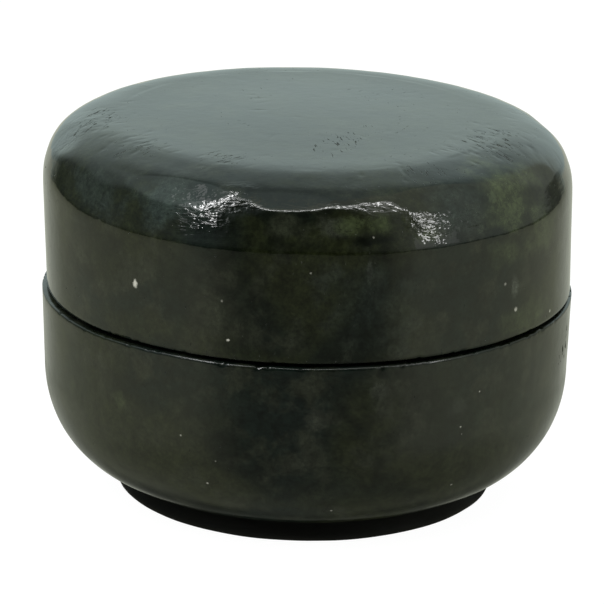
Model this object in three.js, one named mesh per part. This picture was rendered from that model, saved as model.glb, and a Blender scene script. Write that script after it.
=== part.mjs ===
// A round desk inkwell turned from dark green hardstone: a thick-walled stone base on a
// carved foot ring, a loose glass liner that holds the ink, and a domed stone lid.
// Millimetres, +Z up, with the origin at the middle of the foot, on the desk.
//
// The glass liner hangs by its flange on a ledge inside the base. The lid drops over the
// raised lip of the base and rests on the flange, which leaves a hairline gap all round
// between the lid's lower edge and the rim of the base.

import * as THREE from "three";

// Driving dimensions
const RIM_RADIUS = 35.0; // the widest part of the base, at its rim
const RIM_HEIGHT = 26.95; // the rim of the base above the desk
const LID_GAP = 0.45; // hairline between rim and lid
const LID_HEIGHT = 22.55; // from the lid's lower edge to the middle of its top
const SEAT_GAP = 0.3; // between two pieces that rest on each other
const SEGMENTS = 64; // round the axis

// Base
const FOOT = { radius: 25.1, edge: 0.7, ringWidth: 3.5, recess: 1.6, neckRadius: 23.9, neckHeight: 2.5 };
const BOWL = { radius: 34.7, width: 12.8, height: 14.4, power: 2.1 };
const LIP = { outerRadius: 30.8, innerRadius: 27.5, height: 2.45, edge: 0.4 };
const LEDGE_DROP = 1.5; // the flange's ledge below the top of the lip
const BORE = { radius: 24.4, floor: 8.2, corner: 4.4 };
const ARRIS = 0.4; // the worn edge of rim and lid

// Glass liner
const FLANGE = { radius: 27.0, thickness: 1.7, edge: 0.5 };
const LINER = { radius: 23.9, wall: 2.3, floor: 2.6, clearance: 0.4, corner: 4.0, innerCorner: 5.0 };

// Lid
const LID = { lowerRadius: 34.6, radius: 34.7, clearance: 0.4, crown: 0.4 };
const SHOULDER = { width: 10.1, height: 8.8, power: 2.5 };
const HOLLOW = { radius: 25.0, height: 12.3, power: 2.6 };

// Heights that follow from them
const LIP_TOP = RIM_HEIGHT + LIP.height;
const LEDGE_HEIGHT = LIP_TOP - LEDGE_DROP;
const FLANGE_BOTTOM = LEDGE_HEIGHT + SEAT_GAP;
const FLANGE_TOP = FLANGE_BOTTOM + FLANGE.thickness;
const LINER_BOTTOM = BORE.floor + LINER.clearance;
const LID_BOTTOM = RIM_HEIGHT + LID_GAP;
const LID_LEDGE = FLANGE_TOP + SEAT_GAP;

const QUARTER = Math.PI / 2;

const point = (radius, height) => new THREE.Vector2(radius, height);

// Points on a quarter or part of a superellipse round (cx, cy). The angles run
// anticlockwise from +X, and a power of 2 is a true ellipse.
function bend(cx, cy, width, height, from, to, steps, power = 2) {
  const swell = (value) => Math.sign(value) * Math.abs(value) ** (2 / power);
  const points = [];
  for (let i = 0; i <= steps; i++) {
    const angle = from + ((to - from) * i) / steps;
    points.push(point(cx + width * swell(Math.cos(angle)), cy + height * swell(Math.sin(angle))));
  }
  return points;
}

const round = (cx, cy, radius, from, to, steps) => bend(cx, cy, radius, radius, from, to, steps);

// The solid that an outline sweeps round the axis. The outline starts on the axis below,
// runs up the outside and comes back to the axis.
function turned(outline) {
  return new THREE.LatheGeometry(outline, SEGMENTS).rotateX(QUARTER);
}

function piece(name, outline, material, height) {
  const mesh = new THREE.Mesh(turned(outline), material);
  mesh.name = name;
  mesh.position.z = height;
  return mesh;
}

// Stone base: recessed foot ring, rounded bowl, rim with a raised lip, and a bore for the liner
function baseOutline() {
  const ringInner = FOOT.radius - FOOT.ringWidth;
  const bowlMiddle = FOOT.neckHeight + BOWL.height;
  const bowl = bend(
    BOWL.radius - BOWL.width, bowlMiddle, BOWL.width, BOWL.height, -QUARTER, 0, 12, BOWL.power,
  ).filter((p) => p.x > FOOT.neckRadius);
  return [
    point(0, FOOT.recess),
    point(ringInner, FOOT.recess),
    point(ringInner + FOOT.edge, 0),
    ...round(FOOT.radius - FOOT.edge, FOOT.edge, FOOT.edge, -QUARTER, 0, 3),
    point(FOOT.neckRadius, FOOT.neckHeight),
    ...bowl,
    point(RIM_RADIUS, RIM_HEIGHT - 3 * ARRIS),
    ...round(RIM_RADIUS - ARRIS, RIM_HEIGHT - ARRIS, ARRIS, 0, QUARTER, 3),
    point(LIP.outerRadius, RIM_HEIGHT),
    ...round(LIP.outerRadius - LIP.edge, LIP_TOP - LIP.edge, LIP.edge, 0, QUARTER, 2),
    ...round(LIP.innerRadius + LIP.edge, LIP_TOP - LIP.edge, LIP.edge, QUARTER, 2 * QUARTER, 2),
    point(LIP.innerRadius, LEDGE_HEIGHT),
    point(BORE.radius, LEDGE_HEIGHT),
    ...round(
      BORE.radius - BORE.corner, BORE.floor + BORE.corner, BORE.corner, 0, -QUARTER, 5,
    ),
    point(0, BORE.floor),
  ];
}

// Glass liner, measured from its own underside: a straight-sided cup with a flange
function linerOutline() {
  const flangeBottom = FLANGE_BOTTOM - LINER_BOTTOM;
  const flangeTop = FLANGE_TOP - LINER_BOTTOM;
  const inner = LINER.radius - LINER.wall;
  return [
    point(0, 0),
    ...round(LINER.radius - LINER.corner, LINER.corner, LINER.corner, -QUARTER, 0, 5),
    point(LINER.radius, flangeBottom),
    ...round(FLANGE.radius - FLANGE.edge, flangeBottom + FLANGE.edge, FLANGE.edge, -QUARTER, 0, 2),
    ...round(FLANGE.radius - FLANGE.edge, flangeTop - FLANGE.edge, FLANGE.edge, 0, QUARTER, 2),
    ...round(inner + FLANGE.edge, flangeTop - FLANGE.edge, FLANGE.edge, QUARTER, 2 * QUARTER, 2),
    ...round(
      inner - LINER.innerCorner, LINER.floor + LINER.innerCorner, LINER.innerCorner, 0, -QUARTER, 5,
    ),
    point(0, LINER.floor),
  ];
}

// Stone lid, measured from its own lower edge: carved hollow, ledge that rests on the
// flange, recess that clears the lip, straight side, soft shoulder and slightly domed top
function lidOutline() {
  const ledge = LID_LEDGE - LID_BOTTOM;
  const top = LID_HEIGHT - LID.crown;
  const shoulderMiddle = top - SHOULDER.height;
  const topRadius = LID.radius - SHOULDER.width;
  const crown = [0.75, 0.5, 0.25, 0].map((share) =>
    point(topRadius * share, top + LID.crown * (1 - share ** 2)),
  );
  return [
    ...bend(0, ledge, HOLLOW.radius, HOLLOW.height, QUARTER, 0, 8, HOLLOW.power),
    point(LIP.outerRadius + LID.clearance, ledge),
    point(LIP.outerRadius + LID.clearance, 0),
    ...round(LID.lowerRadius - ARRIS, ARRIS, ARRIS, -QUARTER, 0, 3),
    ...bend(
      topRadius, shoulderMiddle, SHOULDER.width, SHOULDER.height, 0, QUARTER, 12, SHOULDER.power,
    ),
    ...crown,
  ];
}

const darkJade = new THREE.MeshStandardMaterial({ color: 0x262b23, roughness: 0.3, metalness: 0 });
const polishedJade = new THREE.MeshStandardMaterial({ color: 0x2b342c, roughness: 0.2, metalness: 0 });
const clearGlass = new THREE.MeshStandardMaterial({
  color: 0xd4e2da,
  roughness: 0.05,
  metalness: 0,
  transparent: true,
  opacity: 0.35,
});

const inkwell = new THREE.Group();
inkwell.add(
  piece("stone_base", baseOutline(), darkJade, 0),
  piece("glass_liner", linerOutline(), clearGlass, LINER_BOTTOM),
  piece("stone_lid", lidOutline(), polishedJade, LID_BOTTOM),
);

export default inkwell;
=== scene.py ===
"""Looks of the stone inkwell: the polished dark green stone lid and base, and the glass liner.

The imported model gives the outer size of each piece. The smaller sizes here are the same as in that
model, but for the arrises of rim and lid, which are finer here. Lengths are in millimetres until a
mesh is made, and Blender works in metres.
"""

import math

import bpy
import numpy as np
from mathutils import Matrix, Vector, noise


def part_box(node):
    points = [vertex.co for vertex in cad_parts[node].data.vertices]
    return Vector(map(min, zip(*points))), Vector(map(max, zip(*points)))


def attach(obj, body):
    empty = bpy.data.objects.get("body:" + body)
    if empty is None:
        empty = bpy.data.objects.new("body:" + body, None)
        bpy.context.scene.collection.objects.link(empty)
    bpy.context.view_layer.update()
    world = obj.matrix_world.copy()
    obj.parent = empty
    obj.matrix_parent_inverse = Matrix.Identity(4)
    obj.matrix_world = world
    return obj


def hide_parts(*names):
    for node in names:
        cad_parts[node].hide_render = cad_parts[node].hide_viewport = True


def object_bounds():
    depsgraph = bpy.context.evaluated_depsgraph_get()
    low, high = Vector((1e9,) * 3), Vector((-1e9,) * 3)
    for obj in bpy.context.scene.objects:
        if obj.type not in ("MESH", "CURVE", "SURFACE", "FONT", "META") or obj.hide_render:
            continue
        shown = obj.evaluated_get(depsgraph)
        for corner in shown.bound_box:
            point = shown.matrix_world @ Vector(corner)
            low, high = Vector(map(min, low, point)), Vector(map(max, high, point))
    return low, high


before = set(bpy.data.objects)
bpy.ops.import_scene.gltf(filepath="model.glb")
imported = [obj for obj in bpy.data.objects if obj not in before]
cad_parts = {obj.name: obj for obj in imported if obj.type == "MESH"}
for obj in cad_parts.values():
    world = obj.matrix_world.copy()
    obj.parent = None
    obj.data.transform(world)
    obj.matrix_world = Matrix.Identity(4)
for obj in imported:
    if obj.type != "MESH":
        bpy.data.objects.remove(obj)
cad_low, cad_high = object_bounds()

MM = 0.001
QUARTER = math.pi / 2
SEGMENTS = 640  # round the widest part of the lid and base
FEWEST_SEGMENTS = 10
ON_AXIS = 1e-6

# How far apart the points of each kind of surface are
FINE = 0.34  # what shows from outside
COARSE = 0.9  # inside and underneath
WORN_EDGE = 0.18
PLAIN_EDGE = 0.5

# Points on a bend, and on the narrow arris of rim and lid
BEND_STEPS = 96
ARRIS_STEPS = 16

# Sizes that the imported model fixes
base_low, base_high = (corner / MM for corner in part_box("stone_base"))
liner_low, liner_high = (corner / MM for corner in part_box("glass_liner"))
lid_low, lid_high = (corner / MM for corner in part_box("stone_lid"))
RIM_RADIUS = base_high.x
LIP_TOP = base_high.z
LID_RADIUS = lid_high.x
LID_EDGE = lid_low.z
LID_TOP = lid_high.z
FLANGE_RADIUS = liner_high.x
FLANGE_TOP = liner_high.z
LINER_BOTTOM = liner_low.z
SEAT_GAP = 0.3  # between two pieces that rest on each other
LID_GAP = 0.45  # between rim and lid
LEDGE_DROP = 1.5  # the flange's ledge below the top of the lip
RIM_HEIGHT = LID_EDGE - LID_GAP
LEDGE_HEIGHT = LIP_TOP - LEDGE_DROP


# ---------------------------------------------------------------- turned shapes


def bend(cr, cz, width, height, start, end, power=2.0, steps=BEND_STEPS):
    """Points on part of a superellipse round (cr, cz). A power of 2 is a true ellipse."""
    points = []
    for i in range(steps + 1):
        angle = start + (end - start) * i / steps
        c, s = math.cos(angle), math.sin(angle)
        points.append((
            cr + width * math.copysign(abs(c) ** (2 / power), c),
            cz + height * math.copysign(abs(s) ** (2 / power), s),
        ))
    return points


def rounded(radius, height, size, start, end, steps=BEND_STEPS):
    """A rounded corner of that size round (radius, height)."""
    return bend(radius, height, size, size, start, end, steps=steps)


def stretch(zone, spacing, points):
    """The line through points as rows about spacing apart, without its last point."""
    line = np.array(points, float)
    steps = np.hypot(*np.diff(line, axis=0).T)
    along = np.concatenate([[0.0], np.cumsum(steps)])
    rows = max(1, round(along[-1] / spacing))
    at = np.linspace(0, along[-1], rows + 1)[:-1]
    return [
        (float(np.interp(a, along, line[:, 0])), float(np.interp(a, along, line[:, 1])), zone, spacing)
        for a in at
    ]


def ring_counts(rows):
    """Segments in each ring: SEGMENTS halved as often as fits, at most doubling from ring to ring."""
    counts = []
    for radius, _, _, spacing in rows:
        count = SEGMENTS
        while count > FEWEST_SEGMENTS and count / 2 >= 2 * math.pi * radius / (spacing * 1.25):
            count //= 2
        counts.append(count)
    for order in (range(1, len(counts)), range(len(counts) - 2, -1, -1)):
        step = order.step
        for i in order:
            counts[i] = max(counts[i], counts[i - step] // 2)
    return counts


def join_rings(lower, upper):
    """Faces between two rings of points that have the same count, or one twice the other."""
    if len(lower) == 1:
        return [(lower[0], upper[(k + 1) % len(upper)], upper[k]) for k in range(len(upper))]
    if len(upper) == 1:
        return [(lower[k], lower[(k + 1) % len(lower)], upper[0]) for k in range(len(lower))]
    faces = []
    few = min(len(lower), len(upper))
    for k in range(few):
        n = (k + 1) % few
        if len(lower) == len(upper):
            faces.append((lower[k], lower[n], upper[n], upper[k]))
        elif len(lower) > len(upper):
            middle = lower[2 * k + 1]
            faces.append((lower[2 * k], middle, upper[k]))
            faces.append((middle, lower[2 * n], upper[n]))
            faces.append((middle, upper[n], upper[k]))
        else:
            middle = upper[2 * k + 1]
            faces.append((lower[k], middle, upper[2 * k]))
            faces.append((lower[n], upper[2 * n], middle))
            faces.append((lower[k], lower[n], middle))
    return faces


# Chips in a worn edge: their size, the noise level that they start at, how depth grows with the
# noise, the deepest they get, and how long the chipped stretches are
CHIPS = dict(size=0.8, least=0.2, scale=0.6, deepest=0.2, stretch=9)
EDGE_FADE = 5  # how far from an edge its waves reach


class Turned:
    """A closed surface of revolution as numpy arrays: points, normals and each point's zone."""

    def __init__(self, rows):
        counts = ring_counts(rows)
        points, zones, rings = [], [], []
        for (radius, height, zone, _), count in zip(rows, counts):
            if radius < ON_AXIS:
                rings.append([len(points)])
                points.append((0.0, 0.0, height))
                zones.append(zone)
                continue
            rings.append(list(range(len(points), len(points) + count)))
            for k in range(count):
                angle = 2 * math.pi * k / count
                points.append((radius * math.cos(angle), radius * math.sin(angle), height))
                zones.append(zone)
        self.points = np.array(points)
        self.zones = np.array(zones)
        self.faces = [f for a, b in zip(rings, rings[1:]) for f in join_rings(a, b)]
        self.refresh_normals()

    def refresh_normals(self):
        """Takes each point's normal from the surface as it now is."""
        mesh = bpy.data.meshes.new("scratch")
        mesh.from_pydata(self.points.tolist(), [], self.faces)
        normals = np.zeros(len(self.points) * 3)
        mesh.vertex_normals.foreach_get("vector", normals)
        self.normals = normals.reshape(-1, 3)
        bpy.data.meshes.remove(mesh)

    def within(self, *zones):
        """True for each point that lies in one of those zones."""
        return np.isin(self.zones, zones)

    def push(self, depth):
        """Moves every point along its own normal. Positive depth goes into the stone."""
        self.points -= self.normals * depth[:, None]

    def roughen(self, table):
        """Pushes zones in and out by smooth noise. The table has (zones, depth, size, seed)."""
        for zones, depth, size, seed in table:
            self.push(self.within(*zones) * depth * waves(self.points, size, seed))

    def wave_edge(self, zone, steady, edge, depth, size, seed):
        """Moves an edge up and down: all of it at the height edge, and none at the height steady."""
        share = self.within(zone, "side") * smooth_step(steady, edge, self.points[:, 2])
        self.points[:, 2] += share * depth * waves(self.points, size, seed)

    def nick(self, zone, seed):
        """Small chips along a worn edge, in some stretches of it and not in others."""
        chips = waves(self.points, CHIPS["size"], seed, 3) - CHIPS["least"]
        depth = np.maximum(chips, 0) * CHIPS["scale"]
        depth *= smooth_step(-0.2, 0.3, waves(self.points, CHIPS["stretch"], seed + 1))
        self.push(self.within(zone) * np.minimum(depth, CHIPS["deepest"]))

    def object(self, name, material):
        """The surface as a smooth Blender object, in metres."""
        mesh = bpy.data.meshes.new(name)
        mesh.from_pydata((self.points * MM).tolist(), [], self.faces)
        mesh.polygons.foreach_set("use_smooth", [True] * len(mesh.polygons))
        mesh.materials.append(material)
        mesh.update()
        piece = bpy.data.objects.new(name, mesh)
        bpy.context.scene.collection.objects.link(piece)
        return piece


def smooth_step(low, high, values):
    """0 at low, 1 at high, with soft ends. High may lie below low."""
    t = np.clip((values - low) / (high - low), 0, 1)
    return t * t * (3 - 2 * t)


def waves(points, size, seed, octaves=2):
    """Smooth noise at every point, about -1 to 1, with features of about that size in mm."""
    shift = Vector((seed * 17.3, seed * 5.1, seed * 9.7))
    return np.array([noise.fractal(Vector(p) / size + shift, 1.0, 2.0, octaves) for p in points])


# ---------------------------------------------------------------- the lid

LID_WALL = dict(lower_radius=LID_RADIUS - 0.1, arris=0.2, recess_radius=31.2)
SHOULDER = dict(width=10.1, height=8.8, power=2.5)
LID_CROWN = 0.4
CROWN_STEPS = 40
HOLLOW = dict(radius=25.0, height=12.3, power=2.6)
LID_LEDGE = FLANGE_TOP + SEAT_GAP
LID_TILT = 0.0085  # the top is ground slightly out of true, higher at -X
LID_LEAN = (0.2, -0.55)  # how far the lid lies towards +X, and its top leans back from there


def lid_rows():
    """The lid's outline, from the middle of the hollow down and round to the middle of the top."""
    arris, lower = LID_WALL["arris"], LID_WALL["lower_radius"]
    recess = LID_WALL["recess_radius"]
    flat_radius = LID_RADIUS - SHOULDER["width"]
    shoulder_z = LID_TOP - LID_CROWN - SHOULDER["height"]
    edge = rounded(lower - arris, LID_EDGE + arris, arris, -QUARTER, 0, ARRIS_STEPS)
    shoulder = bend(
        flat_radius, shoulder_z, SHOULDER["width"], SHOULDER["height"], 0, QUARTER, SHOULDER["power"])
    hollow = bend(0, LID_LEDGE, HOLLOW["radius"], HOLLOW["height"], QUARTER, 0, HOLLOW["power"])
    crown = []
    for i in range(CROWN_STEPS + 1):
        share = 1 - i / CROWN_STEPS
        crown.append((flat_radius * share, LID_TOP - LID_CROWN + LID_CROWN * (1 - share ** 2) ** 2))
    rows = stretch("hollow", COARSE, hollow)
    rows += stretch("ledge", COARSE, [(HOLLOW["radius"], LID_LEDGE), (recess, LID_LEDGE)])
    rows += stretch("recess", COARSE, [(recess, LID_LEDGE), (recess, LID_EDGE)])
    rows += stretch("edge", PLAIN_EDGE, [(recess, LID_EDGE), edge[0]])
    rows += stretch("edge", WORN_EDGE, edge)
    rows += stretch("side", FINE, [edge[-1], (LID_RADIUS, shoulder_z)])
    rows += stretch("shoulder", FINE, shoulder)
    rows += stretch("top", FINE, crown)
    rows.append((0.0, LID_TOP, "top", FINE))
    return rows


# Flats left by grinding, as (which way round, how far up it looks, depth): degrees, degrees and mm
SHOULDER_FLATS = [
    (-119, 51, 0.46), (-106, 33, 0.42), (-95, 52, 0.3), (-73, 35, 0.34), (-60, 46, 0.5),
    (-140, 38, 0.25), (-28, 36, 0.3), (15, 42, 0.3), (62, 50, 0.35), (105, 38, 0.3),
    (150, 46, 0.35), (190, 52, 0.3),
]

# The low flats between side and shoulder, a step apart in degrees. They are deep in front and at
# the back, shallow towards +X and -X, and wander a little in tilt and depth.
LOW_FLATS = dict(step=5, tilt=20, depth=0.34, shallow=0.02, wander=0.02)

# Where the front of the top is worn lower as it runs into the shoulder
FRONT_WEAR = dict(depth=0.4, radius=28.4, spread=3.2)

# Unevenness left by hand grinding, as (zones, depth, size, seed)
LID_UNEVEN = [
    (("shoulder",), 0.035, 5.5, 3),
    (("side", "shoulder", "top"), 0.006, 2.2, 7),
    (("side", "shoulder"), 0.05, 19, 5),
]

# How the edge goes up and down all round
LID_EDGE_WAVE = dict(depth=0.07, size=13, seed=2)

# Rows of short marks left by the grinding wheel, as
# (x, y, spread in x, spread in y, how many, direction in degrees, depth)
SCORES = [
    (-27, -4, 2.2, 5.0, 34, 56, 0.045), (-22, -14, 2.6, 2.6, 20, 50, 0.05), (-24, 2, 3.5, 6, 10, 60, 0.03),
    (24, -10, 3.5, 5.5, 34, 128, 0.04), (19, -15, 3.0, 2.5, 14, 125, 0.045), (29, -4, 1.5, 6, 12, 120, 0.04),
    (-11, -21, 3.0, 2.0, 9, 40, 0.03), (5, -12, 4.5, 5.0, 9, 100, 0.03), (12, -24, 3.0, 1.5, 5, 95, 0.05),
    (-7, 5, 2.0, 2.5, 4, 20, 0.05), (0, 5, 14, 12, 14, 30, 0.02),
]
# How much the marks of a row differ: the spread of their direction in degrees, their length and
# width in mm, and their share of the row's depth
SCORE = dict(turn=14, length=(0.4, 1.1), width=(0.16, 0.28), share=(0.4, 1.2))


def score_top(lid, random):
    """Presses the short grinding marks into the lid's top."""
    upward = (lid.normals[:, 2] > 0.5) & lid.within("top", "shoulder")
    x, y = lid.points[upward, 0], lid.points[upward, 1]
    depth = np.zeros(len(x))
    for cx, cy, spread_x, spread_y, count, direction, deep in SCORES:
        for _ in range(count):
            px, py = random.normal(cx, spread_x), random.normal(cy, spread_y)
            angle = math.radians(random.normal(direction, SCORE["turn"]))
            length, width = random.uniform(*SCORE["length"]), random.uniform(*SCORE["width"])
            along = (x - px) * math.cos(angle) + (y - py) * math.sin(angle)
            beside = (y - py) * math.cos(angle) - (x - px) * math.sin(angle)
            share = random.uniform(*SCORE["share"])
            depth += deep * share * np.exp(-(along / length) ** 2 - (beside / width) ** 2)
    push = np.zeros(len(lid.points))
    push[upward] = depth
    lid.push(push)


def grind_flat(shape, direction, tilt, depth, wear=0.06):
    """Grinds a flat into a convex shape: a face that looks that way, with worn edges."""
    turn, rise = math.radians(direction), math.radians(tilt)
    face = np.array([math.cos(turn) * math.cos(rise), math.sin(turn) * math.cos(rise), math.sin(rise)])
    over = shape.points @ face
    over -= over.max() - depth
    shape.points -= np.outer((over + np.sqrt(over ** 2 + wear ** 2)) / 2, face)


def wear_front(lid):
    """Wears the front of the top lower, close to the shoulder."""
    radius = np.hypot(lid.points[:, 0], lid.points[:, 1])
    front = smooth_step(0.2, 0.8, -lid.points[:, 1] / np.maximum(radius, 1))
    near = np.exp(-((radius - FRONT_WEAR["radius"]) / FRONT_WEAR["spread"]) ** 2)
    lid.points[:, 2] -= FRONT_WEAR["depth"] * front * lid.within("top", "shoulder") * near


def grind_low_flats(lid):
    """Grinds the row of low flats that parts the lid's side from its shoulder."""
    shallow, depth = LOW_FLATS["shallow"], LOW_FLATS["depth"]
    for direction in range(0, 360, LOW_FLATS["step"]):
        facing = smooth_step(0.1, 0.6, abs(math.sin(math.radians(direction))))
        wander = math.sin(math.radians(direction * 4)) + math.sin(math.radians(direction * 7 + 50))
        deep = shallow + (depth - shallow) * facing
        grind_flat(lid, direction, LOW_FLATS["tilt"] + wander, deep + LOW_FLATS["wander"] * wander)


def settle_lid(lid):
    """Lays the lid slightly out of true: its outside leans, and its top is out of level."""
    outside = lid.within("side", "shoulder", "top")
    rise = outside * (lid.points[:, 2] - LID_EDGE) / (LID_TOP - LID_EDGE)
    lid.points[:, 2] -= LID_TILT * lid.points[:, 0] * rise
    lid.points[:, 0] += LID_LEAN[0] + LID_LEAN[1] * rise


def make_lid(material):
    """The lid, ground and marked, and laid slightly out of true."""
    random = np.random.default_rng(11)
    lid = Turned(lid_rows())
    wear_front(lid)
    for direction, tilt, depth in SHOULDER_FLATS:
        grind_flat(lid, direction, tilt, depth)
    grind_low_flats(lid)
    lid.refresh_normals()
    lid.roughen(LID_UNEVEN)
    score_top(lid, random)
    lid.wave_edge("edge", LID_EDGE + EDGE_FADE, LID_EDGE, **LID_EDGE_WAVE)
    lid.nick("edge", 4)
    settle_lid(lid)
    return lid.object("carved_lid", material)


# ---------------------------------------------------------------- the base

FOOT = dict(radius=25.1, edge=0.7, ring_width=3.5, recess=1.6, neck_radius=23.9, neck_height=2.5)
BOWL = dict(radius=RIM_RADIUS - 0.3, width=12.8, height=14.4, power=2.1)
LIP = dict(outer=30.8, inner=27.5, edge=0.4)
BORE = dict(radius=24.4, floor=8.2, corner=4.4)
RIM_ARRIS = 0.09
FOOT_SPACING = 0.3
LIP_SPACING = 0.4
BASE_UNEVEN = [(("bowl", "side"), 0.05, 17, 21), (("bowl", "side"), 0.008, 3.2, 24)]
FOOT_UNEVEN = [(("foot",), 0.05, 7, 26)]
RIM_WAVE = dict(depth=0.09, size=12, seed=22)


def base_rows():
    """The base's outline, from the middle of the underside out and round to the bore's floor."""
    ring_inner = FOOT["radius"] - FOOT["ring_width"]
    sole_inner = (ring_inner + FOOT["edge"], 0)
    bowl = bend(BOWL["radius"] - BOWL["width"], FOOT["neck_height"] + BOWL["height"],
                BOWL["width"], BOWL["height"], -QUARTER, 0, BOWL["power"])
    bowl = [place for place in bowl if place[0] > FOOT["neck_radius"]]
    sole = rounded(FOOT["radius"] - FOOT["edge"], FOOT["edge"], FOOT["edge"], -QUARTER, 0)
    rim_low = RIM_HEIGHT - RIM_ARRIS
    arris = rounded(RIM_RADIUS - RIM_ARRIS, rim_low, RIM_ARRIS, 0, QUARTER, ARRIS_STEPS)
    lip_low = LIP_TOP - LIP["edge"]
    lip_out = rounded(LIP["outer"] - LIP["edge"], lip_low, LIP["edge"], 0, QUARTER)
    lip_in = rounded(LIP["inner"] + LIP["edge"], lip_low, LIP["edge"], QUARTER, 2 * QUARTER)
    corner = BORE["corner"]
    bottom = rounded(BORE["radius"] - corner, BORE["floor"] + corner, corner, 0, -QUARTER)
    ledge_end = (BORE["radius"], LEDGE_HEIGHT)
    rows = stretch("recess", COARSE, [(0, FOOT["recess"]), (ring_inner, FOOT["recess"]), sole_inner])
    rows += stretch("foot", PLAIN_EDGE, [sole_inner, sole[0]])
    neck = (FOOT["neck_radius"], FOOT["neck_height"])
    rows += stretch("foot", FOOT_SPACING, sole + [neck, bowl[0]])
    rows += stretch("bowl", FINE, bowl)
    rows += stretch("side", FINE, [bowl[-1], arris[0]])
    rows += stretch("rim", WORN_EDGE, arris)
    rows += stretch("rim", PLAIN_EDGE, [arris[-1], (LIP["outer"], RIM_HEIGHT)])
    rows += stretch("lip", LIP_SPACING, [(LIP["outer"], RIM_HEIGHT)] + lip_out + lip_in)
    rows += stretch("ledge", COARSE, [lip_in[-1], (LIP["inner"], LEDGE_HEIGHT), ledge_end])
    rows += stretch("bore", COARSE, [ledge_end] + bottom + [(0, BORE["floor"])])
    rows.append((0.0, BORE["floor"], "bore", COARSE))
    return rows


def make_base(material, shaded_foot_material):
    """The base. Its foot and underside have a material of their own, painted near black as painted shade."""
    base = Turned(base_rows())
    base.roughen(BASE_UNEVEN)
    base.wave_edge("rim", RIM_HEIGHT - EDGE_FADE, RIM_HEIGHT, **RIM_WAVE)
    base.roughen(FOOT_UNEVEN)
    base.points[:, 2] = np.maximum(base.points[:, 2], base_low.z)
    base.nick("rim", 23)
    piece = base.object("carved_base", material)
    piece.data.materials.append(shaded_foot_material)
    # The foot and underside take the painted shade material
    low = base.within("foot", "recess")
    for face in piece.data.polygons:
        face.material_index = int(all(low[v] for v in face.vertices))
    return piece


# ---------------------------------------------------------------- the glass liner

LINER = dict(radius=23.9, wall=2.3, floor=2.6, corner=4.0, inner_corner=5.0)
FLANGE = dict(thickness=1.7, edge=0.5)
GLASS_SPACING = 0.6
FLANGE_SPACING = 0.25
LINER_UNEVEN = [(("outside", "inside"), 0.05, 9, 31), (("flange",), 0.02, 6, 33)]


def liner_rows():
    """The liner's outline, from the middle of its foot out and round to the middle of its floor."""
    radius, inner = LINER["radius"], LINER["radius"] - LINER["wall"]
    corner, inner_corner = LINER["corner"], LINER["inner_corner"]
    edge = FLANGE["edge"]
    flange_bottom = FLANGE_TOP - FLANGE["thickness"]
    floor = LINER_BOTTOM + LINER["floor"]
    foot = rounded(radius - corner, LINER_BOTTOM + corner, corner, -QUARTER, 0)
    under = rounded(FLANGE_RADIUS - edge, flange_bottom + edge, edge, -QUARTER, 0)
    over = rounded(FLANGE_RADIUS - edge, FLANGE_TOP - edge, edge, 0, QUARTER)
    mouth = rounded(inner + edge, FLANGE_TOP - edge, edge, QUARTER, 2 * QUARTER)
    bottom = rounded(inner - inner_corner, floor + inner_corner, inner_corner, 0, -QUARTER)
    rows = stretch("outside", GLASS_SPACING, [(0, LINER_BOTTOM)] + foot + [(radius, flange_bottom)])
    rows += stretch("flange", FLANGE_SPACING, [(radius, flange_bottom)] + under + over + mouth)
    rows += stretch("inside", GLASS_SPACING, [mouth[-1]] + bottom + [(0, floor)])
    rows.append((0.0, floor, "inside", GLASS_SPACING))
    return rows


def make_liner(material):
    """The glass liner, slightly wavy as blown glass is."""
    liner = Turned(liner_rows())
    liner.roughen(LINER_UNEVEN)
    return liner.object("blown_liner", material)


# ---------------------------------------------------------------- node graphs

BLOB_CORE = 0.25  # the share of a blob's size that is at full strength
BLOB_RAGGED = 2.2


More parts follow.
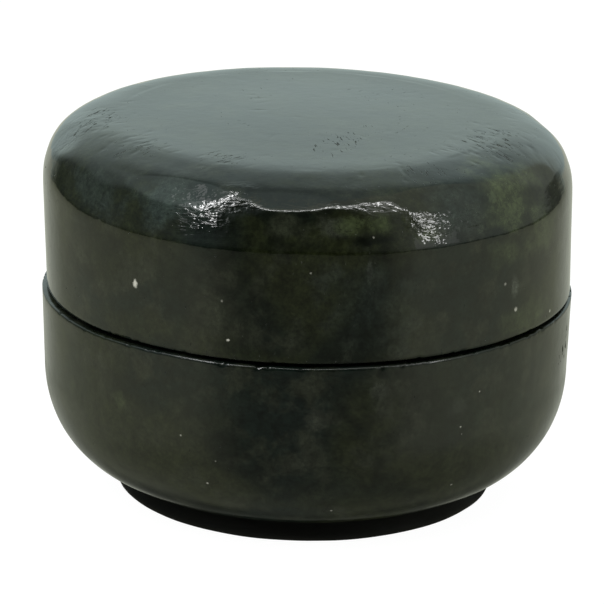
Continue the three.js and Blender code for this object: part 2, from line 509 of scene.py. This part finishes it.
class Graph:
    """Short calls that add nodes to a node tree. A value is a number, a colour or a socket."""

    def __init__(self, tree, owner):
        self.tree = tree
        self.owner = owner

    def add(self, kind, **settings):
        node = self.tree.nodes.new(kind)
        for key, value in settings.items():
            setattr(node, key, value)
        return node

    def link(self, value, socket):
        if isinstance(value, bpy.types.NodeSocket):
            self.tree.links.new(value, socket)
        else:
            socket.default_value = value

    def math(self, operation, *values):
        node = self.add("ShaderNodeMath", operation=operation)
        for value, socket in zip(values, node.inputs):
            self.link(value, socket)
        return node.outputs[0]

    def split(self, vector):
        node = self.add("ShaderNodeSeparateXYZ")
        self.link(vector, node.inputs[0])
        return node.outputs

    def ramp(self, value, ends, smooth=True):
        """A value that goes from the first (at, value) pair to the second."""
        kind = "SMOOTHSTEP" if smooth else "LINEAR"
        node = self.add("ShaderNodeMapRange", interpolation_type=kind)
        (low, first), (high, last) = ends
        self.link(value, node.inputs["Value"])
        node.inputs["From Min"].default_value = low
        node.inputs["From Max"].default_value = high
        node.inputs["To Min"].default_value = first
        node.inputs["To Max"].default_value = last
        return node.outputs["Result"]

    def colors(self, value, stops):
        """A colour from a ramp whose stops run from -1 to 1, read by a value from 0 to 1."""
        node = self.add("ShaderNodeValToRGB")
        elements = node.color_ramp.elements
        while len(elements) < len(stops):
            elements.new(1)
        for element, (at, color) in zip(elements, stops):
            element.position = (at + 1) / 2
            element.color = (*color, 1)
        self.link(value, node.inputs[0])
        return node.outputs["Color"]

    def mix(self, share, first, second):
        node = self.add("ShaderNodeMix", data_type="RGBA")
        self.link(share, node.inputs["Factor"])
        for color, socket in ((first, node.inputs[6]), (second, node.inputs[7])):
            self.link((*color, 1) if isinstance(color, tuple) else color, socket)
        return node.outputs[2]

    def vector(self, operation, *values, output=0):
        node = self.add("ShaderNodeVectorMath", operation=operation)
        for value, socket in zip(values, node.inputs):
            self.link(value, socket)
        return node.outputs[output]

    def dim(self, color, factor):
        node = self.add("ShaderNodeVectorMath", operation="SCALE")
        self.link(color, node.inputs[0])
        self.link(factor, node.inputs["Scale"])
        return node.outputs[0]

    def millimetres(self):
        """The place on the object, in mm, in the object's own frame."""
        return self.dim(self.add("ShaderNodeTexCoord").outputs["Object"], 1 / MM)

    def noise(self, place, size, detail=2.0, roughness=0.5, distortion=0.0):
        """Smooth noise, about 0.3 to 0.7, with features of about that size."""
        node = self.add("ShaderNodeTexNoise")
        self.link(place, node.inputs["Vector"])
        node.inputs["Scale"].default_value = 1 / size
        node.inputs["Detail"].default_value = detail
        node.inputs["Roughness"].default_value = roughness
        node.inputs["Distortion"].default_value = distortion
        return node.outputs["Fac"]

    def blob(self, place, centre, size, wobble=0.5):
        """1 at the centre, fading to 0 at about size, a number or one for each axis. Wobble, a
        noise value, makes its outline ragged."""
        size = (size, size, size) if isinstance(size, (int, float)) else size
        offset = self.vector("DIVIDE", self.vector("SUBTRACT", place, centre), size)
        reach = self.vector("LENGTH", offset, output="Value")
        ragged = self.math("MULTIPLY", self.math("SUBTRACT", 0.5, wobble), BLOB_RAGGED)
        return self.ramp(self.math("ADD", reach, ragged), [(BLOB_CORE, 1), (1.0, 0)])

    def bump(self, shader, height, strength, distance):
        """Gives the shader relief. A height of 1 stands for that distance, in mm."""
        node = self.add("ShaderNodeBump")
        node.inputs["Strength"].default_value = strength
        node.inputs["Distance"].default_value = distance * MM
        self.link(height, node.inputs["Height"])
        self.link(node.outputs["Normal"], shader.inputs["Normal"])


def new_material(name):
    """The graph and the shader of a new material."""
    material = bpy.data.materials.new(name)
    material.use_nodes = True
    return Graph(material.node_tree, material), material.node_tree.nodes["Principled BSDF"]


# ---------------------------------------------------------------- camera and stage

CAMERA_ELEVATION = 17.9  # degrees
CAMERA_DISTANCE = 471.7 * MM
CAMERA_AIM = Vector((0, 0, 23.6 * MM))
CAMERA_OFFSET = (-0.62 * MM, 0.65 * MM)  # sideways and upwards
CAMERA_ROLL = 0.017  # radians, anticlockwise
CAMERA_LENS = 211.65  # mm, on a sensor 36 mm wide
FLOOR_GREY = (0.12, 0.12, 0.12, 1)
FLOOR_GLOW = 0.97


def make_camera():
    """A long lens in front of the object, a little above it and slightly rolled."""
    elevation = math.radians(CAMERA_ELEVATION)
    back = Vector((0, -math.cos(elevation), math.sin(elevation)))
    right = Vector((1, 0, 0))
    up = back.cross(right)
    place = CAMERA_AIM + back * CAMERA_DISTANCE + right * CAMERA_OFFSET[0] + up * CAMERA_OFFSET[1]
    c, s = math.cos(CAMERA_ROLL), math.sin(CAMERA_ROLL)
    rolled_right, rolled_up = right * c + up * s, up * c - right * s
    turn = Matrix((rolled_right, rolled_up, back)).transposed()
    data = bpy.data.cameras.new("camera")
    data.sensor_width = 36
    data.lens = CAMERA_LENS
    data.clip_start = 0.01
    data.clip_end = 50
    camera = bpy.data.objects.new("camera", data)
    camera.matrix_world = Matrix.Translation(place) @ turn.to_4x4()
    bpy.context.scene.collection.objects.link(camera)
    bpy.context.scene.camera = camera


def make_floor():
    """A plain floor that glows white. Mirror reflections pass it by and show the world instead."""
    bpy.ops.mesh.primitive_plane_add(size=6, location=(0, 0, cad_low.z))
    floor = bpy.context.object
    floor.name = "floor"
    floor.visible_glossy = False
    graph, shader = new_material("pale_floor")
    shader.inputs["Base Color"].default_value = FLOOR_GREY
    shader.inputs["Roughness"].default_value = 0.9
    shader.inputs["Specular IOR Level"].default_value = 0.1
    shader.inputs["Emission Color"].default_value = (1, 1, 1, 1)
    shader.inputs["Emission Strength"].default_value = FLOOR_GLOW
    floor.data.materials.append(graph.owner)


# ---------------------------------------------------------------- light

# Tints of the tent's cloth and tables
COOL = (0.82, 1.0, 0.97)
WARM = (0.95, 1.0, 0.84)
OCHRE = (0.95, 1.0, 0.76)
GREY = (0.91, 1.0, 0.87)

# What the stone mirrors: how bright the tent is, as (elevation in degrees, brightness)
BACK_WALL = [
    (-4, 0.66), (8, 0.82), (18, 0.88), (26, 0.74), (38, 0.54), (50, 0.33), (64, 0.36), (78, 0.48),
    (90, 0.6),
]
LEFT_WALL = [
    (-2, 0.06), (1, 0.07), (3.5, 0.11), (12, 0.17), (24, 0.32), (40, 0.58), (60, 0.7), (90, 0.6),
]
RIGHT_WALL = [(-1.5, 0.13), (0.5, 0.13), (3, 0.4), (20, 0.5), (34, 0.5), (50, 0.5), (90, 0.5)]
FRONT_WALL = [
    (-4, 0.02), (0, 0.0), (10, 0.002), (15, 0.035), (40, 0.05), (51, 0.08), (53, 0.8), (60, 1.2),
    (72, 1.0), (90, 0.7),
]
BACK_TABLE = [(-90, 0.15), (-60, 0.05), (-42, 0.1), (-26, 0.46), (-5, 0.72)]
LEFT_TABLE = [(-90, 0.20), (-60, 0.26), (-40, 0.29), (-24, 0.45), (-5, 0.36), (-2.5, 0.12)]
RIGHT_TABLE = [(-90, 0.15), (-55, 0.17), (-36, 0.27), (-24, 0.46), (-4, 0.44), (-2.2, 0.15)]
FRONT_TABLE = [(-90, 0.17), (-50, 0.13), (-20, 0.105), (-6, 0.09), (-4, 0.01)]

# Where one wall gives way to the next, from -1 to 1 across and from front to back
SIDE_BLEND = (-0.3, 0.3)
BACK_BLEND = (0.68, 0.93)
FRONT_BLEND = (-0.93, -0.62)


def make_world():
    """The inside of a white light tent, dark and open in front, as the stone reflects it."""
    world = bpy.data.worlds.new("light_tent")
    world.use_nodes = True
    bpy.context.scene.world = world
    graph = Graph(world.node_tree, world)
    background = world.node_tree.nodes["Background"]
    direction = graph.add("ShaderNodeTexCoord").outputs["Generated"]
    x, y, z = graph.split(direction)
    squared = graph.math("ADD", graph.math("MULTIPLY", x, x), graph.math("MULTIPLY", y, y))
    level = graph.math("MAXIMUM", graph.math("SQRT", squared), 0.001)
    across = graph.math("DIVIDE", x, level)
    along = graph.math("DIVIDE", y, level)
    height = graph.ramp(z, [(-1, 0), (1, 1)], smooth=False)

    def wall(table, table_tint, upright, tint):
        """One wall of the tent with the table in front of it, by the height that a ray looks at."""
        stops = []
        for part, color in ((table, table_tint), (upright, tint)):
            for elevation, bright in part:
                at = math.sin(math.radians(elevation))
                stops.append((at, tuple(bright * channel for channel in color)))
        return graph.colors(height, stops)

    left = wall(LEFT_TABLE, OCHRE, LEFT_WALL, COOL)
    right = wall(RIGHT_TABLE, OCHRE, RIGHT_WALL, GREY)
    back = wall(BACK_TABLE, WARM, BACK_WALL, COOL)
    front = wall(FRONT_TABLE, WARM, FRONT_WALL, GREY)
    tent = graph.mix(graph.ramp(across, zip(SIDE_BLEND, (0, 1))), left, right)
    tent = graph.mix(graph.ramp(along, zip(BACK_BLEND, (0, 1))), tent, back)
    tent = graph.mix(graph.ramp(along, zip(FRONT_BLEND, (1, 0))), tent, front)
    seen = graph.add("ShaderNodeLightPath").outputs["Is Camera Ray"]
    graph.link(graph.mix(seen, tent, (1.0, 1.0, 1.0)), background.inputs["Color"])
    background.inputs["Strength"].default_value = 1


# Strips of light in the tent, as (name, start, end, width, power): mm and watts. Each bright
# narrow strip has a wide faint glow round it.
STRIPS = [
    ("front_strip", (-260, -200, 400), (260, -200, 400), 14, 0.34),
    ("front_glow", (-270, -190, 410), (270, -190, 410), 110, 0.17),
    ("left_strip", (-260, -300, 190), (-110, 60, 470), 20, 0.6),
    ("left_glow", (-280, -310, 190), (-130, 60, 480), 120, 0.16),
    ("right_strip", (272, -200, 110), (272, -200, 280), 30, 0.13),
    ("right_glow", (280, -200, 90), (280, -200, 310), 110, 0.02),
]
# The light from above, which no mirror reflection shows
ROOM_LIGHT = ("room_light", (-600, 0, 900), (600, 0, 900), 1200, 1.3)
LIGHT_AIM = 35  # mm above the desk


def strip_light(name, start, end, width, power):
    """A long area light from start to end that shines on the object, unseen by the camera."""
    start, end = Vector(start) * MM, Vector(end) * MM
    place = (start + end) / 2
    back = (place - Vector((0, 0, LIGHT_AIM * MM))).normalized()
    along = (end - start).normalized()
    side = back.cross(along).normalized()
    data = bpy.data.lights.new(name, "AREA")
    data.shape = "RECTANGLE"
    data.size = (end - start).length
    data.size_y = width * MM
    data.energy = power
    light = bpy.data.objects.new(name, data)
    turn = Matrix((along, side, along.cross(side))).transposed()
    light.matrix_world = Matrix.Translation(place) @ turn.to_4x4()
    light.visible_camera = False
    bpy.context.scene.collection.objects.link(light)
    return light


def make_lights():
    """The strips that make the bright lines on the stone, and a soft light from above."""
    for strip in STRIPS:
        strip_light(*strip)
    room = strip_light(*ROOM_LIGHT)
    room.visible_glossy = False


# ---------------------------------------------------------------- materials

# Colours of the stone, and a painted sheen on it
DARK_GREEN = (0.0028, 0.0042, 0.0024)
TEAL = (0.0030, 0.0058, 0.0046)
OLIVE = (0.0092, 0.0112, 0.0043)
GREY_GREEN = (0.0128, 0.0148, 0.0090)
MOSS = (0.037, 0.048, 0.020)
PALE = (0.050, 0.056, 0.044)
BLACK_GREEN = (0.0010, 0.0018, 0.0006)
# Painted sheen: a pale blue-teal laid on the front of the lid where it mirrors the light tent
PAINTED_SHEEN = (0.0180, 0.0255, 0.0215)
FLECK = (0.50, 0.49, 0.42)

# Sizes of the stone's clouds and grain, and of the patterns in its polish, in mm
VEIL = 15
DRIFT = 24
CLOUD = 4.5
MOTTLE = 1.6
GRAIN = 0.45
DUST_SPACING = 5.5
WEAR = 6
HAIR = (1.9, 1.3, 0.5)
DIMPLE = 1.5

# Relief that grinding left, in mm
HAIR_HEIGHT = 0.055
HAIR_SHARE = 0.20  # how much of it shows where there is no ripple
DIMPLE_HEIGHT = 0.014
PIT_DEPTH = 0.06
PIT_ROUGHNESS = 0.6
STROKE_SIZE = (1.6, 0.28, 1.0)
STROKE_COVER = 0.18
STROKE_RARITY = 0.80
STONE_IOR = 1.61
NO_HEIGHT = 100  # above every piece

LID_POLISH = (0.02, 0.07)  # roughness, from the best to the worst polished spots
BASE_POLISH = (0.12, 0.24)
BASE_DULL_ABOVE = RIM_HEIGHT - 0.3
DULL_ROUGHNESS = 0.12

# Painted shade: the foot ring and underside are near black for the shadow under the bowl, with paler
# blotches
FOOT_SHADE = (0.0036, 0.0038, 0.0030)
FOOT_SHADE_PALER = (0.0060, 0.0062, 0.0048)
GLASS = (0.90, 0.96, 0.93)
GLASS_FILM = (0.78, 0.86, 0.83)


def strokes(graph, place, direction, cover):
    """Short sharp pits that run that way, only where cover is near 1."""
    turn = graph.add("ShaderNodeVectorRotate", rotation_type="Z_AXIS")
    graph.link(place, turn.inputs["Vector"])
    turn.inputs["Angle"].default_value = -math.radians(direction)
    drawn_out = graph.vector("DIVIDE", turn.outputs[0], STROKE_SIZE)
    pattern = graph.noise(drawn_out, 1, detail=1, distortion=0.4)
    level = graph.math("ADD", pattern, graph.math("MULTIPLY", cover, STROKE_COVER))
    return graph.ramp(graph.math("SUBTRACT", level, STROKE_RARITY), [(0.0, 0), (0.03, 1)])


def stone_color(graph, here, place, patches, flecks):
    """Cloudy dark green to olive, with soft patches, some of them painted sheen, and a few hard pale flecks.

    Patches are (centre, size, colour, strength) and flecks are (centre, size, strength)."""
    veil = graph.noise(place, VEIL, detail=3, distortion=0.6)
    drift = graph.noise(graph.vector("ADD", place, (50, 20, 90)), DRIFT)
    cloud = graph.noise(place, CLOUD, detail=5, roughness=0.6)
    mottle = graph.noise(graph.vector("ADD", place, (9, 70, 30)), MOTTLE, detail=4, roughness=0.65)
    color = graph.mix(graph.ramp(veil, [(0.42, 0), (0.60, 1)]), DARK_GREEN, OLIVE)
    color = graph.mix(graph.ramp(drift, [(0.47, 0), (0.64, 0.85)]), color, TEAL)
    color = graph.mix(graph.ramp(cloud, [(0.47, 0), (0.68, 0.9)]), color, GREY_GREEN)
    for centre, size, tint, strength in patches:
        share = graph.math("MULTIPLY", graph.blob(here, centre, size, cloud), strength)
        color = graph.mix(share, color, tint)
    grain = graph.noise(place, GRAIN, detail=2)
    color = graph.dim(color, graph.ramp(mottle, [(0.3, 0.5), (0.7, 1.5)], smooth=False))
    color = graph.dim(color, graph.ramp(grain, [(0.3, 0.7), (0.7, 1.3)], smooth=False))
    for centre, size, strength in flecks:
        share = graph.math("MULTIPLY", graph.blob(here, centre, size, mottle), strength)
        color = graph.mix(share, color, FLECK)
    dust = graph.add("ShaderNodeTexVoronoi")
    graph.link(place, dust.inputs["Vector"])
    dust.inputs["Scale"].default_value = 1 / DUST_SPACING
    red = graph.split(dust.outputs["Color"])[0]
    near = graph.ramp(dust.outputs["Distance"], [(0.012, 1), (0.05, 0)])
    rare = graph.ramp(red, [(0.55, 0), (0.85, 0.4)])
    return graph.mix(graph.math("MULTIPLY", near, rare), color, PALE)


def make_stone(name, seed, polish, patches, flecks, ripples, scored, dull_above=NO_HEIGHT):
    """Polished hardstone. Ripples are (centre, size, strength) patches of fine hairline relief left
    from grinding, and scored are (centre, size, direction) patches of short sharp pits. Above the
    height dull_above the stone has lost its polish."""
    graph, shader = new_material(name)
    here = graph.millimetres()
    place = graph.vector("ADD", here, (seed * 31.7, seed * 12.1, seed * 7.3))
    color = stone_color(graph, here, place, patches, flecks)

    wear = graph.noise(place, WEAR, detail=4, roughness=0.6)
    low, high = polish
    rough = graph.ramp(wear, [(0.38, low), (0.66, high)])
    height = graph.split(here)[2]
    dull = graph.ramp(height, [(dull_above, 0), (dull_above + 0.3, DULL_ROUGHNESS)])
    rough = graph.math("ADD", rough, dull)

    hair = graph.noise(graph.vector("DIVIDE", place, HAIR), 1, detail=2, distortion=0.9)
    dimple = graph.noise(graph.vector("ADD", place, (3, 40, 8)), DIMPLE)
    strength = HAIR_SHARE
    for centre, size, amount in ripples:
        patch = graph.math("MULTIPLY", graph.blob(here, centre, size, wear), amount)
        strength = graph.math("ADD", strength, patch)
    relief = graph.math("MULTIPLY", hair, graph.math("MULTIPLY", strength, HAIR_HEIGHT))
    relief = graph.math("ADD", relief, graph.math("MULTIPLY", dimple, DIMPLE_HEIGHT))
    for centre, size, direction in scored:
        pits = strokes(graph, here, direction, graph.blob(here, centre, size, wear))
        relief = graph.math("SUBTRACT", relief, graph.math("MULTIPLY", pits, PIT_DEPTH))
        rough = graph.math("ADD", rough, graph.math("MULTIPLY", pits, PIT_ROUGHNESS))

    graph.bump(shader, relief, 1, 1)
    graph.link(color, shader.inputs["Base Color"])
    graph.link(rough, shader.inputs["Roughness"])
    shader.inputs["IOR"].default_value = STONE_IOR
    return graph.owner


def make_shaded_foot():
    """The unpolished underside and foot ring, near black and weakly reflecting: painted shade for the shadow
    under the bowl.
    """
    graph, shader = new_material("shaded_foot_stone")
    place = graph.millimetres()
    shade_blotch = graph.noise(place, 3, detail=4, roughness=0.65)
    scratch = graph.noise(graph.vector("DIVIDE", place, (2.5, 2.5, 0.4)), 1, detail=3)
    color = graph.mix(graph.ramp(shade_blotch, [(0.35, 0), (0.7, 1)]), FOOT_SHADE, FOOT_SHADE_PALER)
    graph.link(color, shader.inputs["Base Color"])
    graph.link(graph.ramp(shade_blotch, [(0.3, 0.55), (0.7, 0.8)]), shader.inputs["Roughness"])
    graph.bump(shader, scratch, 0.6, 0.05)
    shader.inputs["Specular IOR Level"].default_value = 0.12
    return graph.owner


def make_glass():
    """Clear glass with a faint green cast, slightly wavy, with a dull film of old ink."""
    graph, shader = new_material("clear_glass")
    place = graph.millimetres()
    film = graph.noise(place, 7, detail=4, roughness=0.6)
    ripple = graph.noise(place, 5, detail=1)
    color = graph.mix(graph.ramp(film, [(0.35, 0), (0.7, 1)]), GLASS, GLASS_FILM)
    graph.link(color, shader.inputs["Base Color"])
    graph.link(graph.ramp(film, [(0.4, 0.02), (0.7, 0.12)]), shader.inputs["Roughness"])
    graph.bump(shader, ripple, 0.5, 0.2)
    shader.inputs["Transmission Weight"].default_value = 1
    shader.inputs["IOR"].default_value = 1.5
    return graph.owner


# Where each stone has its patches of colour, flecks, ripples and pits, in mm from the middle of
# the foot. Patches are (centre, size, colour, strength).
LID_PATCHES = [
    ((24.9, -20.4, 47.1), (7.0, 7.0, 3.6), MOSS, 0.8),
    ((25.0, -22.5, 44.0), (6.0, 6.0, 3.2), MOSS, 0.75),
    ((29.5, -17.0, 40.5), (4.0, 5.0, 4.0), MOSS, 0.5),
    ((25.0, -24.5, 39.0), (5.0, 5.0, 3.0), MOSS, 0.45),
    ((3.5, -34.0, 44.8), (2.6, 3, 1.6), PALE, 0.3),
    ((5.0, -33.5, 44.9), (2.2, 3, 1.4), MOSS, 0.6),
    ((9.0, -32.9, 45.0), (2.6, 3, 1.5), MOSS, 0.6),
    ((14.5, -31.0, 43.2), (3.0, 3, 1.5), MOSS, 0.45),
    ((-3.0, -34.0, 45.6), (3.5, 3, 1.0), GREY_GREEN, 0.6),
    ((27.5, -21.0, 29.5), (7, 7, 3.0), MOSS, 0.45),
    ((-22.0, -26.5, 29.5), (10, 8, 3.0), OLIVE, 0.7),
    ((26.1, -22.8, 34.2), (0.9, 0.9, 2.4), PALE, 0.6),
    ((7.6, -33.8, 39.6), (0.5, 0.5, 1.8), PALE, 0.35),
    ((-3.0, -34.5, 42.2), (9, 6, 1.3), BLACK_GREEN, 0.4),
    # Painted sheen on the front of the lid's side
    ((8.0, -33.8, 35.0), (9, 6, 8), PAINTED_SHEEN, 0.25),
    ((-10.0, -33.5, 33.0), (6, 6, 6), GREY_GREEN, 0.3),
    # Painted sheen on the front of the shoulder, here and in the next two patches
    ((19.5, -27.5, 46.0), (6.5, 6, 4.0), PAINTED_SHEEN, 0.6),
    ((-18.5, -28.5, 46.0), (9, 7, 3.5), PAINTED_SHEEN, 0.9),
    ((-27.0, -20.0, 45.3), (6, 7, 3.2), PAINTED_SHEEN, 0.5),
    ((8.5, -33.0, 43.0), (4, 5, 0.8), BLACK_GREEN, 0.9),
]
LID_FLECKS = [
    ((-21.4, -27.2, 35.3), (0.42, 0.42, 0.74), 1.0), ((-9.7, -33.2, 29.9), (0.28, 0.28, 0.22), 0.9),
    ((26.3, -22.6, 31.1), 0.42, 0.7), ((24.9, -24.2, 34.9), 0.3, 0.4), ((-0.2, -30.6, 48.5), 0.3, 0.9),
    ((-1.6, -31.6, 48.0), 0.26, 0.8), ((0.8, -30.2, 48.7), 0.2, 0.6), ((9.5, -27.0, 49.0), 0.25, 0.7),
    ((-14.8, -25.8, 49.1), 0.25, 0.7), ((0.4, -34.7, 39.2), 0.18, 0.4), ((-10.5, -33.1, 34.9), 0.2, 0.3),
    ((31.2, -15.4, 28.6), 0.26, 0.6), ((5.6, -33.2, 43.1), (0.6, 0.4, 0.3), 0.4),
    ((8.0, -33.0, 43.4), 0.16, 0.3),
]
LID_SCORED = [
    ((-27, -5, 49), (6, 9, 6), 56), ((-21, -15, 50), (6, 5, 4), 50), ((-10, -20, 50), (7, 4, 4), 40),
    ((24, -10, 49), (8, 9, 6), 128), ((14, -22, 50), (7, 4, 4), 110), ((4, -12, 50), (9, 8, 4), 100),
]
LID_RIPPLES = [
    ((-13.9, -30.8, 45.8), (6.0, 5.5, 3.4), 2.0),
    ((-9.5, -30.5, 47.6), (4.5, 4, 2.4), 1.8),
    ((15.6, -30.3, 44.6), (4.6, 4, 3.6), 2.4),
    ((20.0, -27.6, 44.6), (3, 3, 3.5), 1.5),
    ((4.0, -32.5, 46.8), (14, 5, 3), 0.7),
    ((-26.7, -22.1, 43.6), (2, 2, 2), 1.0),
    ((-29, -4, 47.5), (6, 7, 4), 1.2), ((-26, 16, 47), (7, 7, 4), 1.4), ((-8, 30, 47), (8, 6, 4), 1.4),
    ((15, 27, 47), (8, 7, 4), 1.4), ((30, 8, 47), (6, 8, 4), 1.2),
]
BASE_PATCHES = [
    ((-29.9, -17.6, 18.4), (1.4, 1.4, 1.8), MOSS, 0.3), ((-23.4, -25.7, 19.2), (1.3, 1.3, 2.0), MOSS, 0.45),
    ((8.9, -33.8, 23.7), (1.6, 1.3, 1.2), PALE, 0.16), ((1.4, -34.8, 20.1), (2, 1.5, 1.8), PALE, 0.1),
    ((19.0, -29.2, 20.0), (2.6, 2, 2.0), PALE, 0.2), ((20.0, -28.0, 12.0), (12, 10, 5), OLIVE, 0.6),
    ((-20.0, -28.0, 16.0), (12, 10, 8), OLIVE, 0.5),
]
BASE_FLECKS = [
    ((-15.5, -31.0, 16.5), 0.2, 0.4), ((-12.1, -31.1, 10.2), 0.22, 0.5), ((-11.1, -32.6, 13.7), 0.16, 0.3),
    ((21.9, -27.1, 21.6), 0.23, 0.7), ((19.6, -28.7, 17.4), 0.18, 0.5), ((19.7, -28.5, 16.4), 0.18, 0.5),
    ((18.7, -26.9, 9.0), 0.21, 0.4), ((3.5, -31.1, 6.8), 0.22, 0.4),
]
BASE_SCORED = [((33.8, -8.5, 20.5), (3, 4, 4.5), 90)]


bpy.context.scene.view_settings.view_transform = "Standard"
make_camera()
make_world()
make_lights()
make_floor()
lid_stone = make_stone(
    "lid_stone", 1, LID_POLISH, LID_PATCHES, LID_FLECKS, LID_RIPPLES, LID_SCORED)
base_stone = make_stone(
    "base_stone", 5, BASE_POLISH, BASE_PATCHES, BASE_FLECKS, (), BASE_SCORED, BASE_DULL_ABOVE)
lid = make_lid(lid_stone)
base = make_base(base_stone, make_shaded_foot())
liner = make_liner(make_glass())
for piece, body, node, kind in (
    (lid, "lid", "stone_lid", "stone"),
    (base, "base", "stone_base", "stone"),
    (liner, "liner", "glass_liner", "glass"),
):
    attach(piece, body)
    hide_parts(node)
